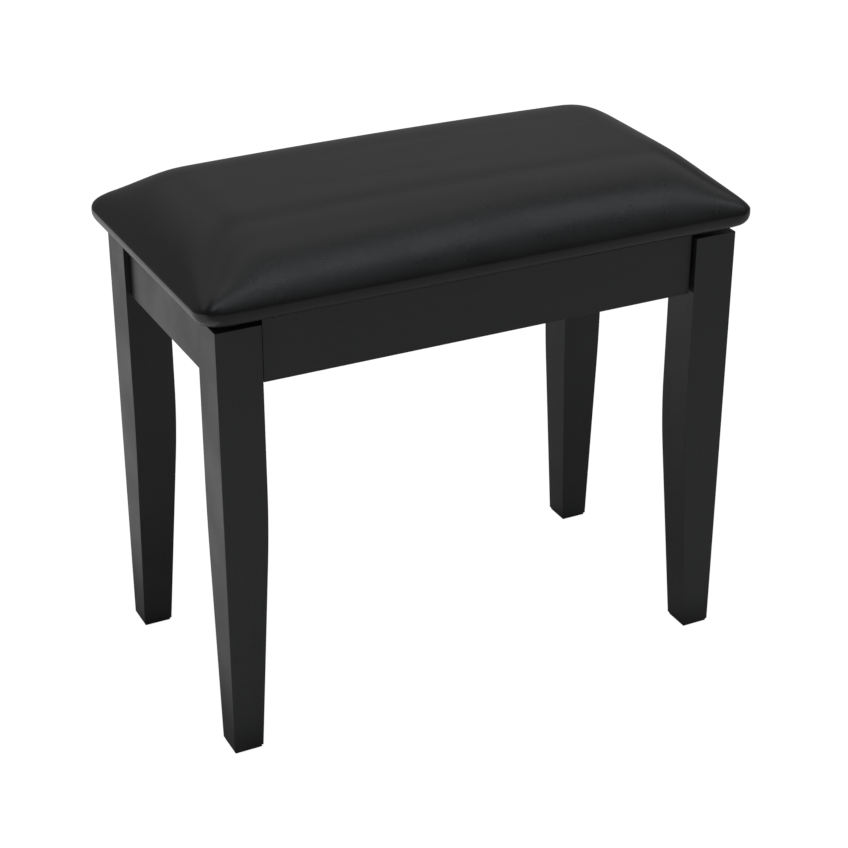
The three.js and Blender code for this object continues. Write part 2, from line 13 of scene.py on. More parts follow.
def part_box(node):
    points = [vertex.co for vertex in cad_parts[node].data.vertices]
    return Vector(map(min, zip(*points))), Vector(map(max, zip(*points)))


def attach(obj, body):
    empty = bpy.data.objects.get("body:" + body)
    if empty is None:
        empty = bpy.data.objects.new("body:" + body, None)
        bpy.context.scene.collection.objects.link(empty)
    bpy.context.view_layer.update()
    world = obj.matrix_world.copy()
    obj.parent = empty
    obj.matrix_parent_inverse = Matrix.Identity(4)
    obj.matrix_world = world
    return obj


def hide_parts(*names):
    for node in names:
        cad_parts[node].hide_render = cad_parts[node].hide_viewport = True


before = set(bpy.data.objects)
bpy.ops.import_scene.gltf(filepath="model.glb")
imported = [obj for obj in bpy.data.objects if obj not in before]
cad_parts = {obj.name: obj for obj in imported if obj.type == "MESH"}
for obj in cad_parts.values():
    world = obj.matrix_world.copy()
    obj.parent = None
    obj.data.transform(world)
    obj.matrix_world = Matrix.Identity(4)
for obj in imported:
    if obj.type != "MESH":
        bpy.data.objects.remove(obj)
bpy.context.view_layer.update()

# ---------------------------------------------------------------- sizes

MM = 0.001
CORNERS = ("front_left", "front_right", "rear_right", "rear_left")

cover_low, cover_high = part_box("seat_cover")
HALF_X = cover_high.x
HALF_Y = cover_high.y
SEAT_TOP = cover_high.z
SEAT_BOTTOM = cover_low.z

SEAT_CORNER = 22 * MM  # corner radius seen from above
LEAST_CORNER = 2 * MM  # outlines drawn far in keep this radius
SIDE_TOP = 438 * MM  # height where the seat's side starts to roll over
ROLL_IN = 18 * MM  # the roll is a quarter of an ellipse, this wide
ROLL_UP = 6 * MM  # and this high
UNDER_ROUND = 9 * MM  # radius of the seat's lower edge
CROWN_RUN_X = 78 * MM  # the crown's shoulder takes this distance from the ends
CROWN_RUN_Y = 112 * MM  # and this distance from the front and the back
CROWN_POWER_X = 2.35  # how fast the shoulder levels out
CROWN_POWER_Y = 2.74
CROWN_START_X = 1.38  # how gently it begins at the edge
CROWN_START_Y = 1.35
CROWN_DOME = 0.1  # share of its height that the crown loses from the middle to the ends
CROWN_MITRE = 1.35  # how squarely the shoulders of two sides meet, from melted at 0 to mitred
LEAST_SHARE = 1e-6  # stands for zero, which the blend can't take
TINY_LENGTH = 1e-9  # these two stand for zero where something is divided by it
TINY_AREA = 1e-12
TURN_IN = 26 * MM  # width of leatherette turned in under the board
COVER_THICK = 1 * MM
FOAM_SKIN = 2 * MM  # from the leatherette's outside to the foam
BOARD_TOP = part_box("seat_board")[1].z

GRID_STEP = 5.8 * MM  # spacing of the cushion's mesh before it is subdivided
COUNT_X = 2 * round(HALF_X / GRID_STEP)
COUNT_Y = 2 * round(HALF_Y / GRID_STEP)

# ---------------------------------------------------------------- small tools


def new_object(name, vertices, faces, material):
    mesh = bpy.data.meshes.new(name)
    mesh.from_pydata([tuple(v) for v in vertices], [], faces)
    mesh.validate()
    mesh.polygons.foreach_set("use_smooth", [True] * len(mesh.polygons))
    mesh.materials.append(material)
    piece = bpy.data.objects.new(name, mesh)
    bpy.context.scene.collection.objects.link(piece)
    return piece


def add_modifier(piece, kind, **settings):
    modifier = piece.modifiers.new(kind.title(), kind)
    for key, value in settings.items():
        setattr(modifier, key, value)
    return modifier


def smoothstep(value, low, high):
    t = np.clip((value - low) / (high - low), 0, 1)
    return t * t * (3 - 2 * t)


# ---------------------------------------------------------------- materials


class Finish:
    """A Principled material, with short ways to add procedural detail to it. Lengths are in metres."""

    def __init__(self, name, metallic=0.0, **sockets):
        self.material = bpy.data.materials.new(name)
        self.material.use_nodes = True
        self.nodes = self.material.node_tree.nodes
        self.links = self.material.node_tree.links
        self.surface = self.nodes["Principled BSDF"]
        self.surface.inputs["Metallic"].default_value = metallic
        for socket, value in sockets.items():
            self.surface.inputs[socket.replace("_", " ")].default_value = value
        self.place = self.nodes.new("ShaderNodeTexCoord").outputs["Object"]

    def add(self, kind, settings=None, **inputs):
        node = self.nodes.new(kind)
        for key, value in (settings or {}).items():
            setattr(node, key, value)
        for socket, value in inputs.items():
            target = node.inputs[socket.replace("_", " ")]
            if isinstance(value, bpy.types.NodeSocket):
                self.links.new(value, target)
            else:
                target.default_value = value
        return node

    def stretched(self, along, shrink=0.04, turn=0.0):
        """Object coordinates shortened along one axis, so that a pattern runs lengthwise on it."""
        scale = [1.0, 1.0, 1.0]
        scale["xyz".index(along)] = shrink
        turned = self.add("ShaderNodeMapping", Vector=self.place, Rotation=(0, 0, turn))
        return self.add("ShaderNodeMapping", Vector=turned.outputs["Vector"], Scale=scale).outputs["Vector"]

    def noise(self, size, vector=None, detail=3.0, roughness=0.55, distortion=0.0):
        """Cloudy values from 0 to 1 with features about `size` across."""
        return self.add(
            "ShaderNodeTexNoise",
            Vector=vector or self.place,
            Scale=1 / size,
            Detail=detail,
            Roughness=roughness,
            Distortion=distortion,
        ).outputs["Fac"]

    def cells(self, size, feature="F1", randomness=1.0, vector=None):
        """Distance to the nearest of scattered cells about `size` apart."""
        return self.add(
            "ShaderNodeTexVoronoi",
            {"feature": feature},
            Vector=vector or self.place,
            Scale=1 / size,
            Randomness=randomness,
        ).outputs["Distance"]

    def remap(self, value, low, high, to_low, to_high):
        return self.add(
            "ShaderNodeMapRange",
            {"interpolation_type": "SMOOTHSTEP"},
            Value=value,
            From_Min=low,
            From_Max=high,
            To_Min=to_low,
            To_Max=to_high,
        ).outputs["Result"]

    def mix(self, share, first, second):
        node = self.nodes.new("ShaderNodeMix")
        node.data_type = "RGBA"
        for socket, value in ((0, share), (6, first), (7, second)):
            if isinstance(value, bpy.types.NodeSocket):
                self.links.new(value, node.inputs[socket])
            else:
                node.inputs[socket].default_value = value
        return node.outputs[2]

    def color(self, value):
        self.links.new(value, self.surface.inputs["Base Color"])

    def roughness(self, value):
        self.links.new(value, self.surface.inputs["Roughness"])

    def bump(self, *layers):
        """Stacks layers of (height, depth, strength), the coarsest first."""
        normal = None
        for height, depth, strength in layers:
            node = self.add("ShaderNodeBump", Height=height, Distance=depth, Strength=strength)
            if normal:
                self.links.new(normal, node.inputs["Normal"])
            normal = node.outputs["Normal"]
        self.links.new(normal, self.surface.inputs["Normal"])


def grey(value, warm=0.0):
    """A near-neutral colour of a linear brightness. Positive `warm` tints it towards yellow."""
    return (value * (1 + warm), value, value * (1 - warm), 1.0)


def satin_paint(along, edge=False):
    """Black lacquer sprayed on wood: soft orange peel, a trace of the grain, rubbed spots on the edges."""
    finish = Finish("paint_edge_" + along if edge else "paint_" + along, IOR=1.5)
    clouds = finish.noise(60 * MM, detail=4)
    grain = finish.noise(1.6 * MM, finish.stretched(along, 0.03), detail=5, roughness=0.65)
    peel = finish.noise(1.1 * MM, detail=2)
    dark, pale, worn, veined = grey(0.0165, -0.03), grey(0.0205, -0.02), grey(0.045, 0.02), grey(0.024)
    body = finish.mix(finish.remap(clouds, 0.35, 0.65, 0, 1), dark, pale)
    if edge:
        rubbed = finish.noise(7 * MM, finish.stretched(along, 0.35), detail=5, roughness=0.7)
        finish.color(finish.mix(finish.remap(rubbed, 0.5, 0.72, 0, 1), body, worn))
        finish.roughness(finish.remap(rubbed, 0.4, 0.7, 0.3, 0.42))
    else:
        finish.color(finish.mix(finish.remap(grain, 0.35, 0.7, 0, 0.5), body, veined))
        finish.roughness(finish.remap(clouds, 0.3, 0.7, 0.36, 0.46))
    finish.bump((grain, 0.05 * MM, 0.35), (peel, 0.03 * MM, 0.3))
    return finish.material


def black_leatherette():
    """Coated cloth with a fine pebble grain, softly shiny, a little duller where it has been sat on. The
    valleys between the pebbles are painted darker, as painted shade.
    """
    finish = Finish("leatherette", IOR=1.5, Sheen_Weight=0.03, Sheen_Roughness=0.4)
    drift = finish.noise(3 * MM, detail=2)
    bent = finish.add("ShaderNodeVectorMath", {"operation": "MULTIPLY_ADD"})
    finish.links.new(drift, bent.inputs[0])
    bent.inputs[1].default_value = (0.6 * MM,) * 3
    finish.links.new(finish.place, bent.inputs[2])
    pebbles = finish.cells(0.9 * MM, "SMOOTH_F1", vector=bent.outputs["Vector"])
    pores = finish.noise(0.35 * MM, detail=2)
    clouds = finish.noise(45 * MM, detail=4)
    dark, pale, painted_valley_shade = grey(0.0062, -0.02), grey(0.0085), grey(0.0048)
    body = finish.mix(finish.remap(clouds, 0.35, 0.65, 0, 1), dark, pale)
    # painted shade: the colour darkens in the valleys between the pebbles, where the bump is lowest
    finish.color(finish.mix(finish.remap(pebbles, 0.35, 0.75, 0, 1), body, painted_valley_shade))
    finish.roughness(finish.remap(clouds, 0.3, 0.7, 0.26, 0.3))
    finish.bump((finish.remap(pebbles, 0.2, 0.8, 1, 0), 0.06 * MM, 0.15), (pores, 0.02 * MM, 0.1))
    return finish.material


def cream_foam():
    """Open-celled polyurethane foam, yellowed a little in patches, with painted shade darkening the hollows of
    its cells.
    """
    finish = Finish("foam", Subsurface_Weight=0.1)
    cells = finish.cells(1.1 * MM)
    patches = finish.noise(50 * MM, detail=4)
    yellowed, fresh, painted_pit_shade = (0.62, 0.52, 0.32, 1), (0.7, 0.63, 0.44, 1), (0.36, 0.28, 0.15, 1)
    body = finish.mix(finish.remap(patches, 0.35, 0.65, 0, 1), yellowed, fresh)
    # painted shade: the colour darkens towards the middle of each cell, where the bump makes its hollow
    finish.color(finish.mix(finish.remap(cells, 0.1, 0.5, 0.6, 0), body, painted_pit_shade))
    finish.roughness(finish.remap(cells, 0.1, 0.6, 0.98, 0.85))
    finish.bump((finish.remap(cells, 0.1, 0.6, 0, 1), 0.5 * MM, 0.8))
    return finish.material


def birch_plywood():
    """Crossed plies that show as bands round the edge, and long grain on the faces."""
    ply_thick = 1.7 * MM
    finish = Finish("plywood")
    height = finish.add("ShaderNodeSeparateXYZ", Vector=finish.place).outputs["Z"]
    bands = finish.add("ShaderNodeMath", {"operation": "PINGPONG"})
    finish.links.new(height, bands.inputs[0])
    bands.inputs[1].default_value = ply_thick
    ply = finish.remap(bands.outputs["Value"], 0.6 * MM, 1.1 * MM, 0, 1)
    lengthwise = finish.noise(2.2 * MM, finish.stretched("x"), detail=6, roughness=0.6)
    crosswise = finish.noise(2.2 * MM, finish.stretched("y"), detail=6, roughness=0.6)
    pale = finish.mix(lengthwise, (0.55, 0.36, 0.18, 1), (0.68, 0.5, 0.29, 1))
    brown = finish.mix(crosswise, (0.36, 0.21, 0.1, 1), (0.5, 0.32, 0.17, 1))
    finish.color(finish.mix(ply, pale, brown))
    finish.roughness(finish.remap(lengthwise, 0.3, 0.7, 0.7, 0.88))
    finish.bump((lengthwise, 0.2 * MM, 0.4), (crosswise, 0.1 * MM, 0.3))
    return finish.material


def beech(name, turn):
    """Planed beech with short dark ray flecks, its grain along the block."""
    finish = Finish(name)
    along = finish.stretched("x", 0.06, turn)
    rings = finish.noise(3.5 * MM, along, detail=5, roughness=0.6, distortion=0.4)
    flecks = finish.noise(0.7 * MM, finish.stretched("x", 0.2, turn), detail=3)
    pale, brown, fleck = (0.6, 0.39, 0.21, 1), (0.46, 0.27, 0.13, 1), (0.24, 0.12, 0.05, 1)
    body = finish.mix(finish.remap(rings, 0.35, 0.7, 0, 1), pale, brown)
    finish.color(finish.mix(finish.remap(flecks, 0.6, 0.72, 0, 0.6), body, fleck))
    finish.roughness(finish.remap(rings, 0.3, 0.7, 0.58, 0.74))
    finish.bump((rings, 0.12 * MM, 0.4), (flecks, 0.05 * MM, 0.4))
    return finish.material


def dust_cloth():
    """Spun-bonded black cloth: a regular field of pressed dots over tangled fibres, with painted shade in the
    gaps between the fibres.
    """
    finish = Finish("dust_cloth", Sheen_Weight=0.15, Sheen_Roughness=0.5)
    dots = finish.cells(1.3 * MM, randomness=0.0)
    fibres = finish.noise(0.8 * MM, finish.stretched("x", 0.12), detail=5, roughness=0.7)
    strands = finish.noise(0.8 * MM, finish.stretched("y", 0.12), detail=5, roughness=0.7)
    tangle = finish.add("ShaderNodeMath", {"operation": "MAXIMUM"})
    finish.links.new(fibres, tangle.inputs[0])
    finish.links.new(strands, tangle.inputs[1])
    painted_gap_shade, fibre, pressed = grey(0.011), grey(0.03), grey(0.007)
    # painted shade: darker where the fibres' noise is low, in the gaps between the raised fibres
    body = finish.mix(finish.remap(tangle.outputs["Value"], 0.4, 0.7, 0, 1), painted_gap_shade, fibre)
    finish.color(finish.mix(finish.remap(dots, 0.2, 0.3, 1, 0), body, pressed))
    finish.roughness(finish.remap(dots, 0.2, 0.32, 0.6, 0.92))
    finish.bump(
        (finish.remap(dots, 0.18, 0.34, 0, 1), 0.12 * MM, 0.6),
        (tangle.outputs["Value"], 0.1 * MM, 0.5),
    )
    return finish.material


def zinc_steel():
    """Bright zinc plating with drawn scratches and a faint bloom."""
    finish = Finish("zinc_steel", metallic=1.0)
    bloom = finish.noise(4 * MM, detail=4)
    scratches = finish.noise(0.3 * MM, finish.stretched("z", 0.1), detail=4, roughness=0.7)
    cool, warm = (0.55, 0.56, 0.58, 1), (0.68, 0.67, 0.62, 1)
    finish.color(finish.mix(finish.remap(bloom, 0.35, 0.65, 0, 1), cool, warm))
    finish.roughness(finish.remap(scratches, 0.3, 0.7, 0.22, 0.42))
    finish.bump((scratches, 0.02 * MM, 0.4))
    return finish.material


def black_nylon():
    """Moulded pad, scuffed grey where it slides."""
    finish = Finish("nylon")
    texture = finish.noise(0.6 * MM, detail=3)
    scuffs = finish.noise(2.5 * MM, finish.stretched("x", 0.2), detail=5, roughness=0.7)
    new, scuffed = grey(0.016), grey(0.07)
    finish.color(finish.mix(finish.remap(scuffs, 0.55, 0.75, 0, 1), new, scuffed))
    finish.roughness(finish.remap(texture, 0.3, 0.7, 0.42, 0.62))
    finish.bump((texture, 0.05 * MM, 0.4))
    return finish.material


LEATHERETTE = black_leatherette()
FOAM = cream_foam()
PLYWOOD = birch_plywood()
BEECH = [beech("beech_rising", math.radians(-45)), beech("beech_falling", math.radians(45))]
DUST_CLOTH = dust_cloth()
ZINC = zinc_steel()
NYLON = black_nylon()
PAINT = {along: [satin_paint(along), satin_paint(along, edge=True)] for along in "xyz"}

# ---------------------------------------------------------------- the CAD nodes that stay

WELD_WITHIN = 0.01 * MM
FLAT_WITHIN = math.radians(0.1)  # facets closer to one plane than this are joined


def dress(name, materials, ease, segments=3, angle=30):
    """Finishes a CAD node. Edges sharper than `angle` degrees are eased over `ease`, in the last material."""
    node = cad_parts[name]
    mesh = node.data
    if "custom_normal" in mesh.attributes:
        mesh.attributes.remove(mesh.attributes["custom_normal"])
    mesh.polygons.foreach_set("use_smooth", [True] * len(mesh.polygons))
    mesh.materials.clear()
    for material in materials:
        mesh.materials.append(material)
    add_modifier(node, "WELD", merge_threshold=WELD_WITHIN)
    add_modifier(node, "DECIMATE", decimate_type="DISSOLVE", angle_limit=FLAT_WITHIN)
    add_modifier(
        node,
        "BEVEL",
        width=ease,
        segments=segments,
        limit_method="ANGLE",
        angle_limit=math.radians(angle),
        harden_normals=True,
        material=len(materials) - 1,
    )


for side, along in (("front", "x"), ("rear", "x"), ("left", "y"), ("right", "y")):
    dress(side + "_apron", PAINT[along], ease=1.0 * MM)
dress("seat_board", [PLYWOOD], ease=0.4 * MM, segments=2)
for k, corner in enumerate(CORNERS):
    dress("leg_" + corner, PAINT["z"], ease=1.3 * MM)
    dress("corner_block_" + corner, [BEECH[k % 2]], ease=0.6 * MM, segments=2)
    dress("glide_" + corner, [NYLON], ease=0.3 * MM, segments=2)
    for piece in ("hanger_bolt", "bolt_washer", "wing_nut", "block_screw_a", "block_screw_b", "seat_screw"):
        dress(piece + "_" + corner, [ZINC], ease=0.2 * MM, segments=2, angle=35)
    dress("glide_nail_" + corner, [ZINC], ease=0.1 * MM, segments=2, angle=35)

# ---------------------------------------------------------------- the seat's surfaces


def rounded(x, y, half_x, half_y, radius):
    """Moves points of a rectangular grid so that each of its nested rings gets rounded corners."""
    ax, ay = np.abs(x), np.abs(y)
    depth = np.minimum(half_x - ax, half_y - ay)
    ring_x, ring_y = half_x - depth, half_y - depth
    reach = np.maximum(radius - depth, TINY_LENGTH)
    on_end = half_x - ax <= half_y - ay
    past = np.where(on_end, ring_y - ay, ring_x - ax)
    angle = np.clip(1 - past / reach, 0, 1) * math.pi / 4
    swing = np.where(on_end, angle, math.pi / 2 - angle)
    bent = past < reach
    new_x = np.where(bent, ring_x - reach + reach * np.cos(swing), ax)
    new_y = np.where(bent, ring_y - reach + reach * np.sin(swing), ay)
    return np.sign(x) * new_x, np.sign(y) * new_y


def plan(inset, corner=SEAT_CORNER):
    """The seat's outline drawn in by `inset` and filled with a grid, as arrays of x and y."""
    half_x, half_y = HALF_X - inset, HALF_Y - inset
    u = np.linspace(-1, 1, COUNT_X + 1)[:, None] * np.ones(COUNT_Y + 1)
    v = np.linspace(-1, 1, COUNT_Y + 1)[None, :] * np.ones((COUNT_X + 1, 1))
    return rounded(u * half_x, v * half_y, half_x, half_y, max(corner - inset, LEAST_CORNER))


def rise(distance, run, power, start):
    """Share of the crown's height reached at a distance from one of the seat's sides."""
    return (1 - (1 - np.clip(distance / run, 0, 1)) ** power) ** start


def meet(share_x, share_y):
    """Joins the shares that two neighbouring sides allow, in a softened mitre."""
    low_x = np.maximum(share_x, LEAST_SHARE) ** -CROWN_MITRE
    low_y = np.maximum(share_y, LEAST_SHARE) ** -CROWN_MITRE
    return (low_x + low_y - 1) ** (-1 / CROWN_MITRE)


def crown(x, y, inset):
    """Height of the seat's upper surface at a point `inset` from the outline."""
    roll = ROLL_UP * math.sqrt(1 - max(1 - inset / ROLL_IN, 0) ** 2)
    share_x = rise(HALF_X - np.abs(x), CROWN_RUN_X, CROWN_POWER_X, CROWN_START_X)
    share_y = rise(HALF_Y - np.abs(y), CROWN_RUN_Y, CROWN_POWER_Y, CROWN_START_Y)
    dome = 1 - CROWN_DOME * (x / HALF_X) ** 2
    return SIDE_TOP + roll + (SEAT_TOP - SIDE_TOP - ROLL_UP) * dome * meet(share_x, share_y)


def grid_index(i, j):
    return i * (COUNT_Y + 1) + j


def border():
    """Indices of the grid's outermost points, counter-clockwise seen from above."""
    return (
        [grid_index(i, 0) for i in range(COUNT_X)]
        + [grid_index(COUNT_X, j) for j in range(COUNT_Y)]
        + [grid_index(i, COUNT_Y) for i in range(COUNT_X, 0, -1)]
        + [grid_index(0, j) for j in range(COUNT_Y, 0, -1)]
    )


BORDER = border()
GRID_FACES = [
    (grid_index(i, j), grid_index(i + 1, j), grid_index(i + 1, j + 1), grid_index(i, j + 1))
    for i in range(COUNT_X)
    for j in range(COUNT_Y)
]


def points(x, y, z):
    """One row of coordinates for each grid point. The height may be one number for all of them."""
    return np.stack([x.ravel(), y.ravel(), np.broadcast_to(z, x.shape).ravel()], axis=1)


def upper_skin(inset, skin):
    """The upper surface's grid over the outline drawn in by `inset`, lying `skin` inside the seat."""
    surface_x, surface_y = plan(inset)
    x, y = plan(inset + skin)
    return points(x, y, crown(surface_x, surface_y, inset) - skin)


def band(above, below):
    """Faces between two rings of the same number of points."""
    count = len(above)
    return [(above[k], below[k], below[(k + 1) % count], above[(k + 1) % count]) for k in range(count)]


def closed_shell(top, rings, bottom):
    """Vertices of a top grid, rings below its border and a bottom grid, with their faces and the bottom's."""
    faces = list(GRID_FACES)
    above, start = BORDER, len(top)
    for ring in rings:
        below = range(start, start + len(ring))
        faces += band(above, below)
        above, start = below, start + len(ring)
    faces += band(above, [start + b for b in BORDER])
    bottom_faces = [tuple(start + v for v in reversed(face)) for face in GRID_FACES]
    return np.concatenate([top] + rings + [bottom]), faces, bottom_faces


ROLL_ANGLES = (75.0, 60.0, 45.0, 31.0, 18.0, 8.0, 0.0)  # degrees up the quarter ellipse, one for each ring
UNDER_ANGLES = (0.0, 22.5, 45.0, 67.5, 90.0)  # degrees down the lower edge's rounding
TURN_IN_RINGS = 4


def level_ring(inset, z):
    """The outline drawn in by `inset`, at one height."""
    x, y = plan(inset)
    return points(x, y, z)[BORDER]


def edge_rings(skin):
    """Rings down the rounded upper edge, from just below the crown's border to the seat's upright side."""
    insets = [ROLL_IN * (1 - math.cos(math.radians(angle))) for angle in ROLL_ANGLES]
    return [upper_skin(inset, skin)[BORDER] for inset in insets]


def under_rings():
    """Rings down the seat's side, round its lower edge and in to the end of the turned-in strip."""
    rings = [level_ring(0, (SIDE_TOP + SEAT_BOTTOM + UNDER_ROUND) / 2)]
    for angle in UNDER_ANGLES:
        out, down = math.cos(math.radians(angle)), math.sin(math.radians(angle))
        rings.append(level_ring(UNDER_ROUND * (1 - out), SEAT_BOTTOM + UNDER_ROUND * (1 - down)))
    for inset in np.linspace(UNDER_ROUND, TURN_IN, TURN_IN_RINGS + 1)[1:]:
        rings.append(level_ring(inset, SEAT_BOTTOM))
    return rings


# ---------------------------------------------------------------- the cushion's filling out

PRESSURE = 4.0
SIM_FRAMES = 20
START_INSIDE = 2.5 * MM  # the pad starts this much smaller and swells
MOST_INSIDE = 0.25 * MM  # how far inside the drawn surface the result may lie
MOST_OUTSIDE = 1.2 * MM  # and how far outside it
HELD_BELOW = BOARD_TOP + 1 * MM  # the board holds the skin up to here
FREE_ABOVE = HELD_BELOW + 14 * MM  # and it is wholly free from here


def vertex_normals(vertices, faces):
    """Unit normals of the points, from the quads round them weighted by their size."""
    normals = np.zeros_like(vertices)
    quads = np.array(faces)
    a, b, c, d = (vertices[quads[:, k]] for k in range(4))
    area = np.cross(c - a, d - b)
    for k in range(4):
        np.add.at(normals, quads[:, k], area)
    return normals / np.maximum(np.linalg.norm(normals, axis=1), TINY_AREA)[:, None]


def swell(vertices, faces):
    """Fills the skin from inside by cloth simulation, held where the board holds it. Its travel is capped."""
    normals = vertex_normals(vertices, faces)
    free = smoothstep(vertices[:, 2], HELD_BELOW, FREE_ABOVE)
    start = vertices - normals * (START_INSIDE * free)[:, None]
    balloon = new_object("balloon", start, faces, LEATHERETTE)
    held = balloon.vertex_groups.new(name="held")
    for index, share in enumerate(1 - free):
        held.add([index], float(share), "REPLACE")
    cloth = balloon.modifiers.new("Cloth", "CLOTH").settings
    cloth.quality = 6
    cloth.mass = 0.3
    cloth.tension_stiffness = 20
    cloth.compression_stiffness = 20
    cloth.shear_stiffness = 10
    cloth.bending_stiffness = 2
    cloth.use_pressure = True
    cloth.uniform_pressure_force = PRESSURE
    cloth.vertex_group_mass = "held"
    cloth.effector_weights.gravity = 0
    balloon.modifiers["Cloth"].collision_settings.use_collision = False
    for step in range(1, SIM_FRAMES + 1):
        bpy.context.scene.frame_set(step)
    graph = bpy.context.evaluated_depsgraph_get()
    moved = balloon.evaluated_get(graph).data.vertices
    swollen = np.array([v.co for v in moved], float)
    bpy.data.objects.remove(balloon)
    bpy.context.scene.frame_set(1)
    outward = ((swollen - vertices) * normals).sum(axis=1)
    most = np.where(outward < 0, MOST_INSIDE, MOST_OUTSIDE)
    outward = most * np.tanh(outward / most)
    return vertices + normals * (outward * free)[:, None]


# ---------------------------------------------------------------- leatherette, foam and dust cover

PLEATS = 5  # folds round each corner of the turned-in strip
PLEAT_DEPTH = 0.5 * MM
PLEAT_WIDTH = 0.6  # the lower this power, the wider each fold's crest
PLEAT_FROM, PLEAT_TO = -8 * MM, 2 * MM  # the folds grow between these distances into the corner
PLEAT_FULL_UP_TO = 2 * MM  # above the seat's underside
CLOSING_STEP = 3 * MM  # from a shell's last ring in to the border of its bottom grid


def pleats(vertices):
    """Small radial folds where the leatherette is gathered round the corners, under the seat only."""
    centre_x, centre_y = HALF_X - SEAT_CORNER, HALF_Y - SEAT_CORNER
    out_x, out_y = np.abs(vertices[:, 0]) - centre_x, np.abs(vertices[:, 1]) - centre_y
    angle = np.arctan2(np.maximum(out_y, 0), np.maximum(out_x, 0))
    in_corner = smoothstep(np.minimum(out_x, out_y), PLEAT_FROM, PLEAT_TO)
    below = smoothstep(-vertices[:, 2], -(SEAT_BOTTOM + UNDER_ROUND), -(SEAT_BOTTOM + PLEAT_FULL_UP_TO))
    wave = np.abs(np.sin(angle * 2 * PLEATS)) ** PLEAT_WIDTH
    vertices[:, 2] += PLEAT_DEPTH * wave * in_corner * below
    return vertices


def seat_cover():
    """The leatherette: a closed skin while it is filled, then opened under the board as on the real seat."""
    rings = edge_rings(0) + under_rings()
    bottom = points(*plan(TURN_IN + CLOSING_STEP), SEAT_BOTTOM)
    vertices, faces, bottom_faces = closed_shell(upper_skin(ROLL_IN, 0), rings, bottom)
    vertices = swell(vertices, faces + bottom_faces)
    vertices = pleats(vertices)
    piece = new_object("leatherette_cover", vertices[: -len(bottom)], faces[: -len(BORDER)], LEATHERETTE)
    add_modifier(piece, "SUBSURF", levels=1, render_levels=1)
    add_modifier(piece, "SOLIDIFY", thickness=COVER_THICK, offset=-1, use_even_offset=True)
    return piece


FOAM_LIFT = 0.3 * MM  # from the board to the foam
FOAM_EASE = 0.4 * MM  # size of the slope round the foam's lower edge


def seat_foam():
    """The pad between the leatherette and the board, with a small slope round its lower edge."""
    floor = BOARD_TOP + FOAM_LIFT
    rings = edge_rings(FOAM_SKIN)
    rings[-1][:, 2] = floor + 2 * FOAM_EASE
    rings.append(level_ring(FOAM_SKIN, floor + FOAM_EASE))
    rings.append(level_ring(FOAM_SKIN + FOAM_EASE, floor))
    bottom = points(*plan(FOAM_SKIN + CLOSING_STEP), floor)
    vertices, faces, bottom_faces = closed_shell(upper_skin(ROLL_IN, FOAM_SKIN), rings, bottom)
    return new_object("foam_pad", vertices, faces + bottom_faces, FOAM)


DUST_INSET = 17 * MM
DUST_CORNER = 12 * MM
DUST_THICK = 0.5 * MM
DUST_SAG = 3.5 * MM
SAG_RUN = 95 * MM  # the sag takes this distance from the frame
RIPPLE_DEPTH = 0.22 * MM
RIPPLE_X, RIPPLE_Y = 9 * MM, 8 * MM  # how close the ripples lie, as the length of one radian of their wave
WANDER_X, WANDER_Y = 27 * MM, 31 * MM  # how slowly they wander, likewise
WANDER_AMOUNT = 1.3
RIPPLE_FULL, RIPPLE_GONE = 12 * MM, 70 * MM  # distances from the frame
APRON_INNER_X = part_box("right_apron")[0].x
APRON_INNER_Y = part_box("rear_apron")[0].y
BLOCK_REACH = 74 * MM  # along each apron, from the frame's inner corner to the corner block's face


def dust_cover():
    """A thin sheet held flat round its edge, which sags a little inside the frame and has faint ripples."""
    low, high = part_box("dust_cover")
    x, y = plan(DUST_INSET, DUST_INSET + DUST_CORNER)
    clear = np.minimum(APRON_INNER_X - np.abs(x), APRON_INNER_Y - np.abs(y))
    corner = (APRON_INNER_X + APRON_INNER_Y - BLOCK_REACH - np.abs(x) - np.abs(y)) / math.sqrt(2)
    clear = np.minimum(clear, corner)
    loose = smoothstep(clear, 0, SAG_RUN)
    pull = smoothstep(clear, 0, RIPPLE_FULL) * smoothstep(-clear, -RIPPLE_GONE, -RIPPLE_FULL)
    across = np.sin(x / RIPPLE_X + WANDER_AMOUNT * np.sin(y / WANDER_Y))
    along = np.sin(y / RIPPLE_Y + np.sin(x / WANDER_X))
    z = (low.z + high.z) / 2 - DUST_SAG * loose - RIPPLE_DEPTH * pull * (across + along + 2)
    piece = new_object("dust_sheet", points(x, y, z), GRID_FACES, DUST_CLOTH)
    add_modifier(piece, "SUBSURF", levels=1, render_levels=1)
    add_modifier(piece, "SOLIDIFY", thickness=DUST_THICK, offset=0)
    return piece


# ---------------------------------------------------------------- staples

STAPLE_WIDTH = 10 * MM
STAPLE_LEG = 6 * MM
STAPLE_WIRE = (1.2 * MM, 0.5 * MM)  # along the board, and off it
STAPLE_BEND = 0.5 * MM
STAPLE_MIDDLE = 0.3  # where the bend's middle point lies, as a share of the bend
STAPLE_EASE = 0.1 * MM
STAPLE_SPACING = 21 * MM
STAPLE_INSET = 13.3 * MM
STAPLE_ROW_END = 8 * MM  # from the last staple of a row to where the seat's corner begins
STAPLE_PROUD = 0.15 * MM  # how far a staple stands out of the leatherette it is pressed into
STAPLE_SEED = 7
STAPLE_DRIFT = 1.2 * MM  # spread of the staples' places along the row
STAPLE_STRAY = 0.3 * MM  # and across it
STAPLE_TWIST = 0.05  # and of their turn, in radians


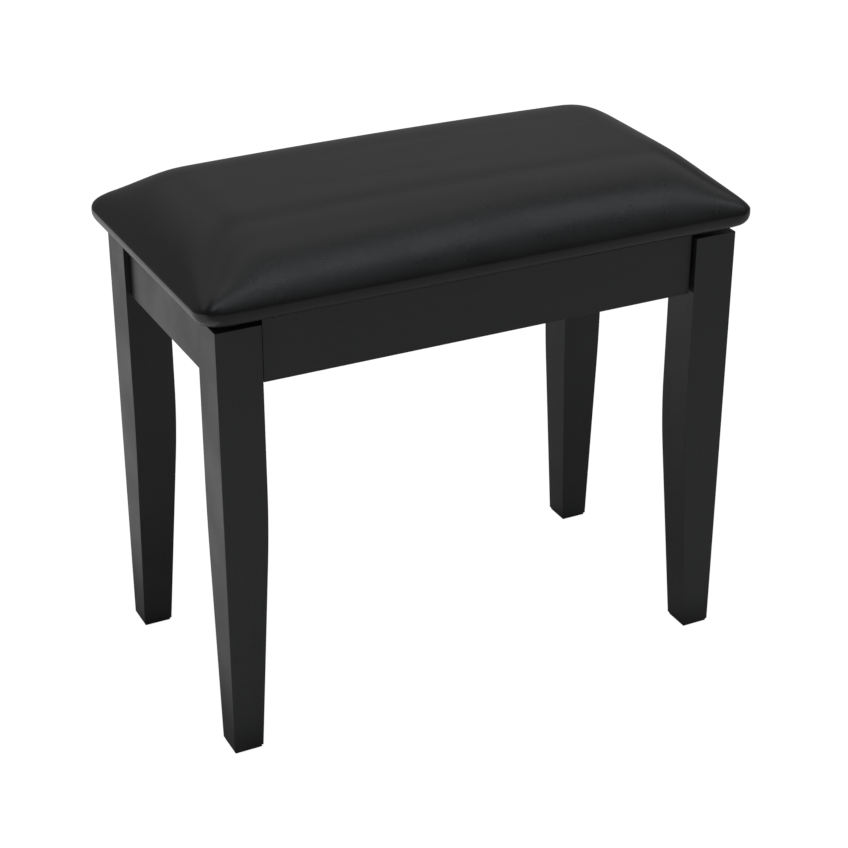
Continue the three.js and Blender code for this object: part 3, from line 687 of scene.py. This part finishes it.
def staple(at, turn):
    """One flat-crowned staple driven upwards: a rectangular wire bent twice."""
    half, bend, middle = STAPLE_WIDTH / 2, STAPLE_BEND, STAPLE_MIDDLE * STAPLE_BEND
    route = [(-half, STAPLE_LEG), (-half, bend), (-half + middle, middle), (-half + bend, 0)]
    route += [(-s, z) for s, z in reversed(route)]
    vertices, faces = [], []
    cos, sin = math.cos(turn), math.sin(turn)
    for k, (s, z) in enumerate(route):
        before, after = route[max(k - 1, 0)], route[min(k + 1, len(route) - 1)]
        run = np.array([after[0] - before[0], after[1] - before[1]])
        run /= np.linalg.norm(run)
        across = np.array([-run[1], run[0]])
        for side, off in ((-1, -1), (1, -1), (1, 1), (-1, 1)):
            ds, dz = across * (off * STAPLE_WIRE[1] / 2)
            u, w = s + ds, side * STAPLE_WIRE[0] / 2
            vertices.append((at[0] + u * cos - w * sin, at[1] + u * sin + w * cos, at[2] + z + dz))
    for k in range(len(route) - 1):
        for c in range(4):
            n = (c + 1) % 4
            faces.append((4 * k + c, 4 * k + n, 4 * k + 4 + n, 4 * k + 4 + c))
    last = 4 * (len(route) - 1)
    faces += [(3, 2, 1, 0), (last, last + 1, last + 2, last + 3)]
    return vertices, faces


def staple_row():
    """Staples along the turned-in leatherette, evenly spaced by hand: each is a little off its place."""
    rng = np.random.default_rng(STAPLE_SEED)
    reach_x, reach_y = HALF_X - SEAT_CORNER - STAPLE_ROW_END, HALF_Y - SEAT_CORNER - STAPLE_ROW_END
    spots = []
    for across, reach, turn in ((HALF_Y - STAPLE_INSET, reach_x, 0), (HALF_X - STAPLE_INSET, reach_y, 1)):
        count = round(2 * reach / STAPLE_SPACING)
        for side in (-1, 1):
            for place in np.linspace(-reach, reach, count + 1):
                along = place + rng.normal(0, STAPLE_DRIFT)
                off = side * across + rng.normal(0, STAPLE_STRAY)
                where = (along, off) if turn == 0 else (off, along)
                spots.append((where, turn * math.pi / 2 + rng.normal(0, STAPLE_TWIST)))
    out = (SEAT_CORNER - STAPLE_INSET) / math.sqrt(2)
    for sx, sy in ((-1, -1), (1, -1), (1, 1), (-1, 1)):
        where = (sx * (HALF_X - SEAT_CORNER + out), sy * (HALF_Y - SEAT_CORNER + out))
        spots.append((where, math.atan2(sy, sx) + math.pi / 2 + rng.normal(0, STAPLE_TWIST)))
    vertices, faces = [], []
    for where, turn in spots:
        at = (where[0], where[1], SEAT_BOTTOM + STAPLE_WIRE[1] / 2 - STAPLE_PROUD)
        more_vertices, more_faces = staple(at, turn)
        faces += [tuple(len(vertices) + v for v in face) for face in more_faces]
        vertices += more_vertices
    piece = new_object("staples", vertices, faces, ZINC)
    add_modifier(piece, "BEVEL", width=STAPLE_EASE, segments=2, limit_method="ANGLE", harden_normals=True)
    return piece


cover = seat_cover()
foam = seat_foam()
dust = dust_cover()
staples = staple_row()

for piece, node, slot in (
    (cover, "seat_cover", "leatherette"),
    (foam, "seat_foam", "foam"),
    (dust, "dust_cover", "dust_cloth"),
):
    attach(piece, "root")
    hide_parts(node)
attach(staples, "root")

# ---------------------------------------------------------------- camera

CAMERA_PLACE = (-0.7841, -1.5734, 1.1150)
CAMERA_YAW = -26.60  # degrees, as the next two
CAMERA_DOWN = 27.04
CAMERA_ROLL = 0.09
CAMERA_LENS = 87.45  # on the default 36 mm sensor


def photo_camera():
    camera = bpy.data.objects.new("camera", bpy.data.cameras.new("camera"))
    bpy.context.scene.collection.objects.link(camera)
    camera.location = CAMERA_PLACE
    camera.rotation_mode = "QUATERNION"
    turn = Quaternion((0, 0, 1), math.radians(CAMERA_YAW))
    tilt = Quaternion((1, 0, 0), math.radians(90 - CAMERA_DOWN))
    roll = Quaternion((0, 0, 1), math.radians(CAMERA_ROLL))
    camera.rotation_quaternion = turn @ tilt @ roll
    camera.data.lens = CAMERA_LENS
    bpy.context.scene.camera = camera


# ---------------------------------------------------------------- studio

CEILING = 2.8
ON_FLOOR = 0.003
DOWN, UP, REARWARD = (0, 0, -1), (0, 0, 1), (0, 1, 0)
WHITE, COOL = (1.0, 1.0, 1.0), (0.88, 0.94, 1.0)
# Each softbox: name, centre, the way it faces, width, height, brightness, colour.
SOFTBOXES = (
    ("strip_near", (0.2, -0.664, CEILING), DOWN, 2, 0.188, 3.35, COOL),
    ("strip_far", (2.3, -0.476, CEILING), DOWN, 2.2, 0.188, 2.95, COOL),
    ("overhead_front", (0.425, -0.076, CEILING), DOWN, 1.55, 0.235, 0.51, WHITE),
    ("overhead_near", (0.425, 0.205, CEILING), DOWN, 1.55, 0.329, 0.82, WHITE),
    ("overhead_far", (2.3, 0.205, CEILING), DOWN, 2.2, 0.329, 0.41, WHITE),
    ("overhead_left", (-1.475, 1.134, CEILING), DOWN, 2.25, 1.528, 0.42, WHITE),
    ("overhead_right", (1.525, 1.134, CEILING), DOWN, 3.75, 1.528, 0.49, WHITE),
    ("rear_left", (-1.475, 3.719, CEILING), DOWN, 2.25, 3.642, 0.24, WHITE),
    ("rear_right", (1.525, 3.719, CEILING), DOWN, 3.75, 3.642, 0.155, WHITE),
    ("left_floor", (-1.95, 1.4, ON_FLOOR), UP, 3.3, 4, 0.5, WHITE),
    ("front_floor", (0.9, -1.38, ON_FLOOR), UP, 4.4, 2.44, 0.12, WHITE),
    ("front_low", (1.3, -4.2, 0.75), REARWARD, 7, 1.5, 0.28, WHITE),
    ("front_middle", (1.3, -4.2, 2.4), REARWARD, 7, 1.8, 0.2, WHITE),
)
FLOOR_REACH = 9
FLOOR_WHITE = 0.8
FLOOR_ROUGHNESS = 0.9
FLAG_LOW, FLAG_HIGH = (-2.5, -4.1), (3.5, -2.62)  # a dark card, on the floor in front
FLAG_HEIGHT = 0.004
FLAG_GREY = 0.04
# What the camera sees of the floor and of the world: how bright the white is, and its share.
FLOOR_SEEN = (1.3, 0.75)
WORLD_SEEN = (1.25, 1.0)
# The world's brightness rises from the front (-Y) to the rear.
WORLD_FADE = {"From Min": -0.6, "From Max": 0.6, "To Min": 0.11, "To Max": 0.19}


def softbox(name, place, way, width, height, brightness, color):
    """An area light whose face has the given brightness, seen in reflections but not by the camera."""
    data = bpy.data.lights.new(name, "AREA")
    data.shape = "RECTANGLE"
    data.size, data.size_y = width, height
    data.energy = brightness * math.pi * width * height
    data.color = color
    light = bpy.data.objects.new(name, data)
    bpy.context.scene.collection.objects.link(light)
    light.location = place
    light.rotation_mode = "QUATERNION"
    light.rotation_quaternion = Vector(way).to_track_quat("-Z", "Y")
    light.visible_camera = False


def white_to_camera(tree, lit, strength, share):
    """Blends a lit shader with plain white for what the camera sees directly."""
    white = tree.nodes.new("ShaderNodeEmission")
    white.inputs["Strength"].default_value = strength
    path = tree.nodes.new("ShaderNodeLightPath")
    fade = tree.nodes.new("ShaderNodeMath")
    fade.operation = "MULTIPLY"
    fade.inputs[1].default_value = share
    tree.links.new(path.outputs["Is Camera Ray"], fade.inputs[0])
    mix = tree.nodes.new("ShaderNodeMixShader")
    tree.links.new(fade.outputs["Value"], mix.inputs["Fac"])
    tree.links.new(lit, mix.inputs[1])
    tree.links.new(white.outputs["Emission"], mix.inputs[2])
    return mix.outputs["Shader"]


def flat_card(name, low, high, z):
    """A level rectangle between two corners, given as (x, y)."""
    corners = [(low[0], low[1], z), (high[0], low[1], z), (high[0], high[1], z), (low[0], high[1], z)]
    material = bpy.data.materials.new(name)
    material.use_nodes = True
    card = new_object(name, corners, [(0, 1, 2, 3)], material)
    return card, material


def studio():
    _, paper = flat_card("floor", (-FLOOR_REACH, -FLOOR_REACH), (FLOOR_REACH, FLOOR_REACH), 0.0)
    surface = paper.node_tree.nodes["Principled BSDF"]
    surface.inputs["Base Color"].default_value = grey(FLOOR_WHITE)
    surface.inputs["Roughness"].default_value = FLOOR_ROUGHNESS
    output = paper.node_tree.nodes["Material Output"]
    shown = white_to_camera(paper.node_tree, surface.outputs["BSDF"], *FLOOR_SEEN)
    paper.node_tree.links.new(shown, output.inputs["Surface"])

    flag, felt = flat_card("flag", FLAG_LOW, FLAG_HIGH, FLAG_HEIGHT)
    felt.node_tree.nodes["Principled BSDF"].inputs["Base Color"].default_value = grey(FLAG_GREY)
    flag.visible_camera = False

    world = bpy.data.worlds.new("studio")
    bpy.context.scene.world = world
    world.use_nodes = True
    tree = world.node_tree
    back = tree.nodes["Background"]
    place = tree.nodes.new("ShaderNodeTexCoord")
    split = tree.nodes.new("ShaderNodeSeparateXYZ")
    fade = tree.nodes.new("ShaderNodeMapRange")
    for socket, value in WORLD_FADE.items():
        fade.inputs[socket].default_value = value
    tree.links.new(place.outputs["Generated"], split.inputs["Vector"])
    tree.links.new(split.outputs["Y"], fade.inputs["Value"])
    tree.links.new(fade.outputs["Result"], back.inputs["Strength"])
    back.inputs["Color"].default_value = (1, 1, 1, 1)
    shown = white_to_camera(tree, back.outputs["Background"], *WORLD_SEEN)
    tree.links.new(shown, tree.nodes["World Output"].inputs["Surface"])

    for box in SOFTBOXES:
        softbox(*box)
    bpy.context.scene.view_settings.view_transform = "Standard"


photo_camera()
studio()
